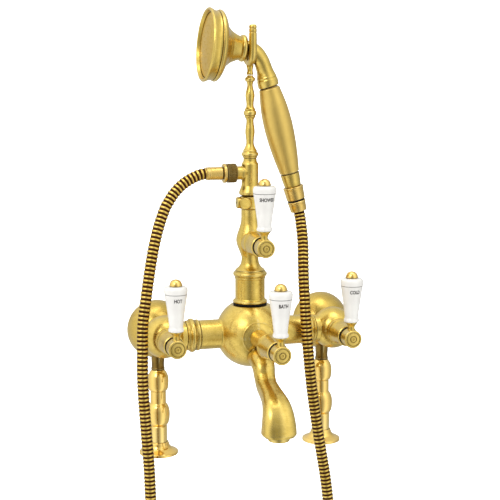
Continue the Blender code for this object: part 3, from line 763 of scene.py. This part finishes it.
def hose_tee():
    tee = [(0, 272.9), *rounded([(8.4, 272.9), (8.7, 273.5, 0.2), (9.6, 273.9, 0.2), (11.0, 274.7, 0.4),
                                 (11.3, 276.4, 0.8)])]
    tee += through([(11.1, 277.4), (10.4, 279.4), (9.5, 281.6), (8.8, 283.6), (8.6, 285.8)], 5)
    tee += rounded([(8.6, 304.4), (8.6, 305.5, 0.4), (7.9, 306.9, 0.4), (6.9, 308.4, 0.7), (6.7, 311.0, 0.2),
                    (6.4, 311.4)])
    body = lathe("fine_hose_tee", [*tee, (0, 311.4)], sides=72)
    centre = (0, 0, BRANCH_Z)
    branch = [(0, 0), (7.5, 0), (7.5, 7.4)]
    branch += rounded([(7.5, 8.0), (6.9, 9.4, 0.6), (6.9, 14.4, 0.3), (5.9, 14.8, 0.2), (5.9, 20.8)])
    combine(body, lathe("branch", [*branch, (0, 20.8)], centre, "-X", 64))
    finish_piece(body, "brushed_brass", FIXED, ["hose_tee"])

    nut = [(6.3, 14.9), *rounded([(9.0, 14.9), (9.7, 15.4, 0.4), (9.5, 16.4, 0.3)])]
    nut += [(9.55, 16.7 + 0.4 * k) for k in range(19)]
    nut += [*rounded([(9.5, 24.4), (8.6, 24.8, 0.2), (8.6, 25.6, 0.2)]), (6.3, 25.6)]
    ridges = knurl(60, 0.45)
    turned("hose_tee_nut", nut, "aged_brass", FIXED, centre, "-X", 264,
           lambda turn, height: ridges(turn, height) if 16.6 < height < 24.0 else 0)
    lip = [(6.3, 25.5)]
    lip += rounded([(9.2, 25.5), (9.8, 25.9, 0.3), (9.8, 27.8, 0.4), (8.8, 28.4, 0.3), (6.3, 28.4)])
    finish_piece(lathe("tee_nut_lip", lip, centre, "-X", 72), "hose_metal", FIXED)

    ferrule = [(0, 21.1), (5.9, 21.1), (5.9, 28.6)]
    ferrule += rounded([(5.9, 28.9), (6.8, 29.8, 0.3), (6.65, 32.0, 0.6)])
    ferrule += [(6.55, 40.0), *bead(6.5, 42.4, 0.9, 0.2, 5)]
    ferrule += [*rounded([(6.55, 43.6), (6.5, 45.5, 0.3), (5.9, 45.9)]), (0, 45.9)]
    turned("hose_ferrule", ferrule, "hose_metal", FIXED, centre, "-X", 56)


def baluster_stem():
    stem = [(0, 311.7), *rounded([(7.0, 311.7), (7.4, 312.3, 0.3), (7.5, 313.2, 0.3)])]
    stem += bead(7.4, 315.4, 1.9, 1.3, 8)
    stem += rounded([(7.3, 317.7), (6.9, 318.4, 0.3), (7.2, 319.0, 0.3)])
    stem += through([(6.6, 319.8), (5.0, 322.8), (4.0, 326.2), (4.1, 331.0), (4.8, 337.0),
                     (4.6, 341.4), (3.9, 346.2), (3.75, 349.4), (4.3, 351.4)], 6)
    stem += rounded([(5.0, 352.2), (5.6, 352.8, 0.3), (5.6, 353.6, 0.3)])
    stem += bead(5.2, 356.8, 2.6, 1.35, 8)
    stem += rounded([(5.3, 360.0), (5.4, 360.8, 0.3), (4.5, 361.8, 0.4)])
    stem += through([(4.0, 362.8), (3.7, 365.4), (4.1, 369.2), (4.7, 374.0), (4.2, 378.0),
                     (3.2, 382.2), (2.85, 385.0), (3.4, 387.2)], 6)
    stem += bead(3.5, 390.4, 2.4, 1.7, 8)
    stem += rounded([(3.3, 393.2), (2.9, 393.7, 0.2), (2.9, 394.4), (0, 394.4)])
    turned("baluster_stem", stem, "brushed_brass", FIXED, sides=56)


FORK_X = -0.5
FORK_ARM_Y = 12.6


def fork_arm(side, stations):
    """Round stations, as (height, radius), along the arm on the given side of the neck."""
    return [(FORK_X, side * FORK_ARM_Y, height, radius, radius) for height, radius in stations]


def cradle_fork():
    """U-shaped rest: a tall front arm with a grooved, domed tip, a low rear arm and a foot."""
    front = fork_arm(-1, ((444.4, 1.6), (444.2, 2.8), (443.4, 3.6), (441.6, 3.9), (440.9, 3.85),
                          (440.4, 3.3), (439.8, 3.85), (437.6, 3.9), (437.1, 3.85), (436.6, 3.35),
                          (436.0, 3.85), (434.0, 3.95), (424.0, 4.0)))
    bend = [(FORK_X, -12.3, 415.2, 3.95, 3.8), (FORK_X, -8.8, 409.2, 3.7, 3.5),
            (FORK_X, 0, 406.3, 3.5, 3.3), (FORK_X, 8.8, 409.2, 3.7, 3.5),
            (FORK_X, 12.3, 415.2, 3.95, 3.8)]
    rear = fork_arm(1, ((423.4, 4.0), (425.4, 3.7), (426.6, 2.9), (427.0, 1.4)))
    fork = sweep("fine_cradle_fork", front + bend + rear, (1, 0, 0), round_section, 40, 5)
    foot = [(0, 394.7), *rounded([(3.0, 394.7), (3.5, 395.4, 0.3), (3.4, 396.8, 0.4), (2.8, 398.4, 0.6)])]
    foot += rounded([(2.9, 400.6, 0.5), (3.6, 402.6, 0.5), (3.6, 406.0), (0, 406.0)])
    combine(fork, lathe("foot", foot, sides=40))
    finish_piece(fork, "brushed_brass", FIXED, ["cradle_fork"])


# ================================================================ handset

def handset_head():
    neck = [(-5.2, 0, 420.9, 7.9, 7.9), (0, 0, 420.2, 7.9, 7.9), (6.4, 0, 416.2, 8.0, 8.0),
            (11.7, 0, 408.8, 7.9, 7.9), (15.2, 0, 399.6, 8.5, 8.3), (16.8, 0, 394.2, 9.6, 9.5),
            (17.3, 0, 392.4, 10.2, 10.1), (17.7, 0, 391.0, 10.1, 10.0), (18.2, 0, 389.0, 10.7, 10.6),
            (19.3, 0, 384.6, 10.7, 10.6), (19.6, 0, 383.6, 10.2, 10.2), (19.8, 0, 382.9, 9.2, 9.2)]
    obj = sweep("fine_handset_neck", neck, (0, 1, 0), round_section, 64)
    finish_piece(obj, "brushed_brass", HANDSET, ["handset_neck"])

    bell = [(0, 5.3), *rounded([(11.8, 5.3), (12.6, 5.5, 0.2)]), *bead(12.4, 7.9, 2.2, 1.1, 8)]
    bell += rounded([(12.2, 10.2), (11.6, 10.8, 0.2), (11.9, 11.3, 0.2)])
    bell += through([(12.0, 11.6), (12.9, 14.0), (14.4, 17.2), (16.2, 20.4)], 5)
    bell += rounded([(16.8, 21.3), (17.4, 21.6, 0.2)])
    bell += through([(17.9, 22.2), (19.9, 24.3), (23.2, 26.4), (27.4, 28.2), (31.4, 30.0), (34.2, 31.8),
                     (35.6, 33.6), (35.7, 34.8)], 6)
    bell += rounded([(35.3, 35.8), (34.6, 36.2, 0.2), (0, 36.2)])
    turned("shower_head_bell", bell, "brushed_brass", HANDSET, CRADLE, HEAD_AXIS, 128)

    rim = [(32.8, 36.5), *rounded([(33.9, 36.5), (34.5, 36.9, 0.3), (34.3, 38.2, 0.5)])]
    rim += [(34.5, 39.4), (35.1, 41.2), (35.9, 42.9)]
    rim += rounded([(36.6, 44.2), (36.9, 45.3, 0.5), (36.2, 46.4, 0.4), (35.2, 46.8, 0.4), (34.2, 46.2, 0.4),
                    (33.7, 44.8, 0.4), (33.3, 43.8)]) + [(32.8, 43.7)]
    turned("shower_head_rim", rim, "brushed_brass", HANDSET, CRADLE, HEAD_AXIS, 128)
    rose_plate()


def rose_plate():
    """Domed spray plate: rings of small raised jets, each with its own hole."""
    crown = 45.8
    plate = [(0, 38.2), (32.4, 38.2), *rounded([(32.4, 42.4), (32.3, 43.0, 0.3), (31.0, 43.3)])]
    plate += through([(30.0, 43.5), (24.0, 44.4), (16.0, 45.2), (8.0, 45.65), (3.0, 45.77)], 4)
    plate += [(0, crown)]
    obj = lathe("fine_rose_plate", plate, CRADLE, HEAD_AXIS, 96)
    verts, faces = [], []
    sides = 10
    profile = [(0.95, -0.5), (0.85, 0.15), (0.66, 0.28), (0.42, 0.22), (0.34, -0.3)]
    for ring in range(5):
        count = max(1, ring * 7)
        out = ring * 6.4
        for k in range(count):
            turn = 2 * pi * k / count + ring * 0.2
            height = crown - 2.4 * (out / 30.8) ** 2
            first = len(verts)
            for radius, rise in profile:
                for i in range(sides):
                    a = 2 * pi * i / sides
                    verts.append(((out * cos(turn) + radius * cos(a)) * MM,
                                  (out * sin(turn) + radius * sin(a)) * MM, (height + rise) * MM))
            for row in range(len(profile) - 1):
                faces += ring_faces(first + row * sides, first + (row + 1) * sides, sides)
            faces.append(range(first, first + sides))
            last = first + (len(profile) - 1) * sides
            faces.append(range(last, last + sides))
    jets = link_mesh("spray_jets", verts, faces)
    aim(jets, CRADLE, HEAD_AXIS)
    finish_piece(obj, "rose_metal", HANDSET, ["rose_plate"])
    finish_piece(jets, "rose_metal", HANDSET)


def handset_grip():
    grip = [(0, 0.3), (9.2, 0.3), *rounded([(9.6, 0.8), (10.4, 1.3, 0.3)])]
    grip += through([(10.6, 1.8), (11.3, 6.0), (12.5, 13.0), (13.5, 20.0), (14.2, 28.0), (14.6, 38.0),
                     (14.5, 46.0), (14.0, 56.0), (13.1, 66.0), (11.9, 76.0), (10.7, 84.0),
                     (10.15, 88.2)], 6)
    grip += rounded([(10.05, 88.9), (8.8, 89.4, 0.2), (8.8, 89.8), (0, 89.8)])
    fine = turned("handset_grip", grip, "grip_brass", HANDSET, GRIP_TOP, GRIP_AXIS, 96)

    ferrule = [(0, 90.2), *rounded([(8.8, 90.2), (9.8, 90.6, 0.2), (9.7, 92.2, 0.4)])]
    ferrule += through([(9.6, 93.0), (9.3, 97.0), (8.8, 101.0), (8.5, 103.2)], 4)
    ferrule += [(8.2, 103.8), (0, 103.8)]
    turned("handset_ferrule", ferrule, "brushed_brass", HANDSET, GRIP_TOP, GRIP_AXIS, 72)

    nut = [(0, 104.1)]
    nut += rounded([(9.6, 104.1), (10.4, 104.5, 0.3), (10.5, 105.8, 0.4), (10.2, 106.4, 0.3)])
    nut += [(10.1, 107.2), (9.9, 110.0), (9.7, 113.0)]
    nut += rounded([(9.5, 116.4), (9.4, 117.6, 0.4), (8.8, 117.8)]) + [(0, 117.8)]
    turned("handset_tail_nut", nut, "hose_metal", HANDSET, GRIP_TOP, GRIP_AXIS, 72)

    washer = [(0, 118.1), *rounded([(8.7, 118.1), (9.0, 118.7, 0.3), (8.7, 119.4)]), (0, 119.4)]
    turned("handset_washer", washer, "black_rubber", HANDSET, GRIP_TOP, GRIP_AXIS, 72)

    cone = [(0, 119.7)]
    cone += rounded([(8.9, 119.7), (9.4, 120.2, 0.3), (9.4, 121.4, 0.3), (9.0, 122.0, 0.3)])
    cone += [(8.8, 124.0), (8.6, 127.0)]
    cone += rounded([(8.4, 129.2), (8.1, 130.3, 0.5), (6.6, 130.6)]) + [(0, 130.6)]
    turned("hose_cone_nut", cone, "hose_metal", HANDSET, GRIP_TOP, GRIP_AXIS, 72)


# ================================================================ valves

HANDLE_PROFILE = [(7.55, 17.5), (7.75, 18.5), (7.55, 19.8), (7.0, 21.0), (6.9, 22.2), (7.3, 27.0),
                  (8.2, 34.0), (9.2, 41.0), (10.2, 48.0), (11.0, 53.4), (11.45, 56.6), (11.45, 58.6),
                  (10.9, 60.2), (9.9, 61.1), (8.6, 61.5)]
WORD_SIZE = 4.9
WORD_HEIGHT = 46.8
WORD_NARROWING = 0.78
RING_LINE = (53.8, 54.25)


def handle_radius(height):
    radii, heights = zip(*HANDLE_PROFILE)
    return float(np.interp(height, heights, radii))


def lettering(prefix, word, pivot, body):
    """A plain word printed round the front of the porcelain."""
    curve = bpy.data.curves.new(word, "FONT")
    curve.body = word
    curve.size = WORD_SIZE
    curve.offset = 0.15
    curve.extrude = 0.05
    curve.align_x = "CENTER"
    curve.resolution_u = 3
    temporary = bpy.data.objects.new(word, curve)
    bpy.context.collection.objects.link(temporary)
    graph = bpy.context.evaluated_depsgraph_get()
    mesh = bpy.data.meshes.new_from_object(temporary.evaluated_get(graph))
    bpy.data.objects.remove(temporary, do_unlink=True)
    for vertex in mesh.vertices:
        height = WORD_HEIGHT + vertex.co.y
        out = handle_radius(height) + vertex.co.z + 0.02
        turn = WORD_NARROWING * vertex.co.x / out
        vertex.co = (out * sin(turn) * MM, -out * cos(turn) * MM, height * MM)
    obj = bpy.data.objects.new(prefix + "_word", mesh)
    bpy.context.collection.objects.link(obj)
    obj.location = Vector(pivot) * MM
    mesh.materials.append(MATERIALS["printed_ink"])
    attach(obj, body)


def valve(prefix, word, bonnet, z=BAR_Z):
    """Bonnet, seal and the porcelain lever that turns on the spindle."""
    body = prefix + "_lever"
    x = middle(prefix + "_lever_hub").x
    hub_front, hub_back = ends(prefix + "_lever_hub", 1)
    centre = (x, 0, z)
    pivot = (x, (hub_front + hub_back) / 2, z)
    turned(prefix + "_bonnet", bonnet, "brushed_brass", FIXED, centre, "-Y", 80)

    front, back = ends(prefix + "_seal", 1)
    seal = [(BORE_R, -back), *rounded([(9.2, -back), (9.5, -back + 0.7, 0.4), (9.2, -front)])]
    seal += [(BORE_R, -front)]
    turned(prefix + "_seal", seal, "black_rubber", FIXED, centre, "-Y", 64)

    rear, face = -hub_back, -hub_front
    drum = [(0, rear + 8.0), (BORE_R, rear + 8.0), (BORE_R, rear)]
    drum += rounded([(8.5, rear), (9.0, rear + 0.5, 0.3), (9.0, rear + 2.0)])
    drum += bead(9.0, rear + 2.6, 0.35, -0.3, 4)
    drum += rounded([(9.0, rear + 3.4), (9.0, face - 0.7), (8.5, face - 0.05, 0.5), (7.4, face, 0.2),
                     (7.2, face - 0.9, 0.1), (6.6, face - 0.9, 0.1), (6.4, face - 0.35, 0.2),
                     (3.7, face - 0.2, 0.2), (3.5, face - 1.0, 0.1), (2.8, face - 1.0, 0.1),
                     (2.5, face - 0.1, 0.2), (1.3, face - 0.05, 0.1), (1.0, face - 0.6, 0.1),
                     (0, face - 0.7)])
    hub = lathe("fine_%s_hub" % prefix, drum, centre, "-Y", 72)
    arm = [(0, 5.0), (3.9, 5.0)]
    arm += through([(4.0, 8.0), (3.5, 9.3), (3.35, 11.0), (3.8, 12.9), (4.9, 14.6), (6.0, 15.9)], 4)
    arm += [*rounded([(6.3, 16.3), (6.4, 16.9, 0.2), (2.2, 16.9)]), (2.2, 61.6), (0, 61.6)]
    combine(hub, lathe("arm", arm, pivot, "+Z", 56))
    finish_piece(hub, "brushed_brass", body, [prefix + "_lever_hub"])
    finish_piece(spindle(prefix, centre), "brushed_brass", body, [prefix + "_spindle"])

    handle = [(2.5, 17.2), (7.2, 17.2), *through(HANDLE_PROFILE, 3), (2.5, 61.5)]
    turned(prefix + "_porcelain_handle", handle, "porcelain", body, pivot, "+Z", 80)
    low, high = RING_LINE
    line = [(handle_radius(low) + 0.04, low), (handle_radius(high) + 0.04, high),
            (handle_radius(low) - 0.3, high), (handle_radius(low) - 0.3, low)]
    ring_line = lathe(prefix + "_line", line, pivot, "+Z", 96)
    finish_piece(ring_line, "printed_ink", body)
    lettering(prefix, word, pivot, body)

    button = [(0, 61.8), *rounded([(6.0, 61.8), (6.3, 62.2, 0.2), (6.2, 63.0, 0.3)])]
    button += through([(6.1, 63.4), (5.6, 65.0), (4.6, 66.6), (3.0, 67.8), (1.4, 68.3)], 4) + [(0, 68.4)]
    turned(prefix + "_cap_button", button, "polished_brass", body, pivot, "+Z", 56)


def spindle(prefix, centre):
    front, back = ends(prefix + "_spindle", 1)
    side = rounded([(3.6, -back), (4.0, -back + 0.5, 0.2), (4.0, -front - 0.5, 0.3), (3.5, -front)])
    outline = [(0, -back), *side, (0, -front)]
    return lathe("fine_%s_spindle" % prefix, outline, centre, "-Y", 40)


def valves():
    side = [(BORE_R, 23.1)]
    side += rounded([(11.6, 23.1), (12.2, 23.6, 0.3), (12.4, 25.4, 0.4), (11.9, 26.2, 0.3)])
    side += [(11.6, 32.0), (11.1, 40.0)]
    side += rounded([(10.7, 45.0), (10.6, 46.8, 0.4), (9.7, 47.5, 0.3), (BORE_R, 47.5)])
    valve("hot", "HOT", side)
    valve("cold", "COLD", side)
    drum = [(BORE_R, 70.0)]
    drum += rounded([(12.1, 70.0), (12.9, 70.5, 0.3), (13.0, 72.2, 0.5), (12.3, 73.2, 0.4)])
    drum += [(11.9, 78.0), (11.2, 86.0)]
    drum += rounded([(10.5, 93.0), (10.3, 98.0, 0.6), (9.5, 99.0, 0.4), (BORE_R, 99.0)])
    valve("bath", "BATH", drum)
    shower = [(BORE_R, 16.7)]
    shower += rounded([(11.4, 16.7), (12.0, 17.2, 0.3), (12.1, 19.2, 0.4), (11.6, 20.0, 0.3)])
    shower += [(11.3, 28.0), (10.9, 36.0)]
    shower += rounded([(10.6, 41.0), (10.5, 42.8, 0.4), (9.7, 43.5, 0.3), (BORE_R, 43.5)])
    valve("shower", "SHOWER", shower, SHOWER_Z)


# ================================================================ studio

def studio():
    """Seamless white backdrop, the room's own light and two soft boxes."""
    verts, faces = [], []
    depth = [(-3.5, 0), (2.2, 0)]
    depth += [(2.2 + 1.2 * sin(t), 1.2 - 1.2 * cos(t)) for t in (radians(9 * k) for k in range(1, 11))]
    depth += [(3.4, 5.0)]
    for y, z in depth:
        verts += [(-5, y, z - 0.36), (5, y, z - 0.36)]
    for i in range(len(depth) - 1):
        faces.append((2 * i, 2 * i + 1, 2 * i + 3, 2 * i + 2))
    backdrop = link_mesh("studio_sweep", verts, faces)
    backdrop.data.materials.append(paper())
    backdrop.data.shade_smooth()
    backdrop.visible_glossy = False
    room_light()
    lights = (
        ("key_box", (-1.3, -1.3, 1.5), 0.9, 9),
        ("top_box", (0.1, -0.2, 2.0), 1.0, 6),
    )
    for name, place, size, power in lights:
        data = bpy.data.lights.new(name, "AREA")
        data.size = size
        data.energy = power
        light = bpy.data.objects.new(name, data)
        light.location = place
        light.rotation_mode = "QUATERNION"
        light.rotation_quaternion = (Vector((0, 0, 0.22)) - light.location).to_track_quat("-Z", "Y")
        bpy.context.collection.objects.link(light)
    bpy.context.scene.view_settings.view_transform = "Standard"


def room_light():
    """A soft room: bright banks beside its front, a dark slot between them, a dimmer back.

    The levels go once round the room, from its back by the right, the front and the left.
    """
    world = bpy.data.worlds.new("studio")
    bpy.context.scene.world = world
    world.use_nodes = True
    tree = world.node_tree

    def node(kind, *sources, operation=None, values=()):
        made = tree.nodes.new(kind)
        if operation:
            made.operation = operation
        for socket, source in zip(made.inputs, sources):
            tree.links.new(source, socket)
        for key, value in values:
            made.inputs[key].default_value = value
        return made.outputs

    direction = node("ShaderNodeTexCoord")["Generated"]
    front = node("ShaderNodeVectorMath", direction, operation="DOT_PRODUCT",
                 values=((1, (-0.268, -0.963, 0)),))
    left = node("ShaderNodeVectorMath", direction, operation="DOT_PRODUCT",
                values=((1, (-0.963, 0.268, 0)),))
    turn = node("ShaderNodeMath", left["Value"], front["Value"], operation="ARCTAN2")[0]
    share = node("ShaderNodeMapRange", turn, values=(("From Min", -pi), ("From Max", pi)))[0]
    banks = tree.nodes.new("ShaderNodeValToRGB")
    tree.links.new(share, banks.inputs["Fac"])
    levels = ((0.0, 0.60), (0.10, 0.48), (0.20, 0.55), (0.28, 0.90), (0.355, 1.35), (0.395, 1.05),
              (0.425, 0.75), (0.46, 0.45), (0.50, 0.30), (0.54, 0.45), (0.57, 0.75), (0.61, 1.08),
              (0.67, 1.28), (0.76, 1.0), (0.87, 0.80), (1.0, 0.60))
    ramp = banks.color_ramp.elements
    while len(ramp) < len(levels):
        ramp.new(0.5)
    for stop, (place, level) in zip(ramp, levels):
        stop.position = place
        stop.color = rgb(level, level, level)
    height = node("ShaderNodeSeparateXYZ", direction)["Z"]
    ceiling = node("ShaderNodeMapRange", height, values=(
        ("From Min", 0.1), ("From Max", 0.9), ("To Min", 0.0), ("To Max", 0.45)))[0]
    total = node("ShaderNodeMath", banks.outputs["Color"], ceiling, operation="ADD")[0]
    tree.links.new(total, tree.nodes["Background"].inputs["Strength"])
    tree.nodes["Background"].inputs["Color"].default_value = rgb(0.98, 1.0, 0.96)


# ================================================================ build

MATERIALS = make_materials()
make_camera()
hose()
mixer_body()
arm_collars()
valve_bodies()
bells()
inlet_elbows()
pillars()
spout()
riser()
swivel_collar()
hose_tee()
baluster_stem()
cradle_fork()
handset_head()
handset_grip()
valves()
studio()
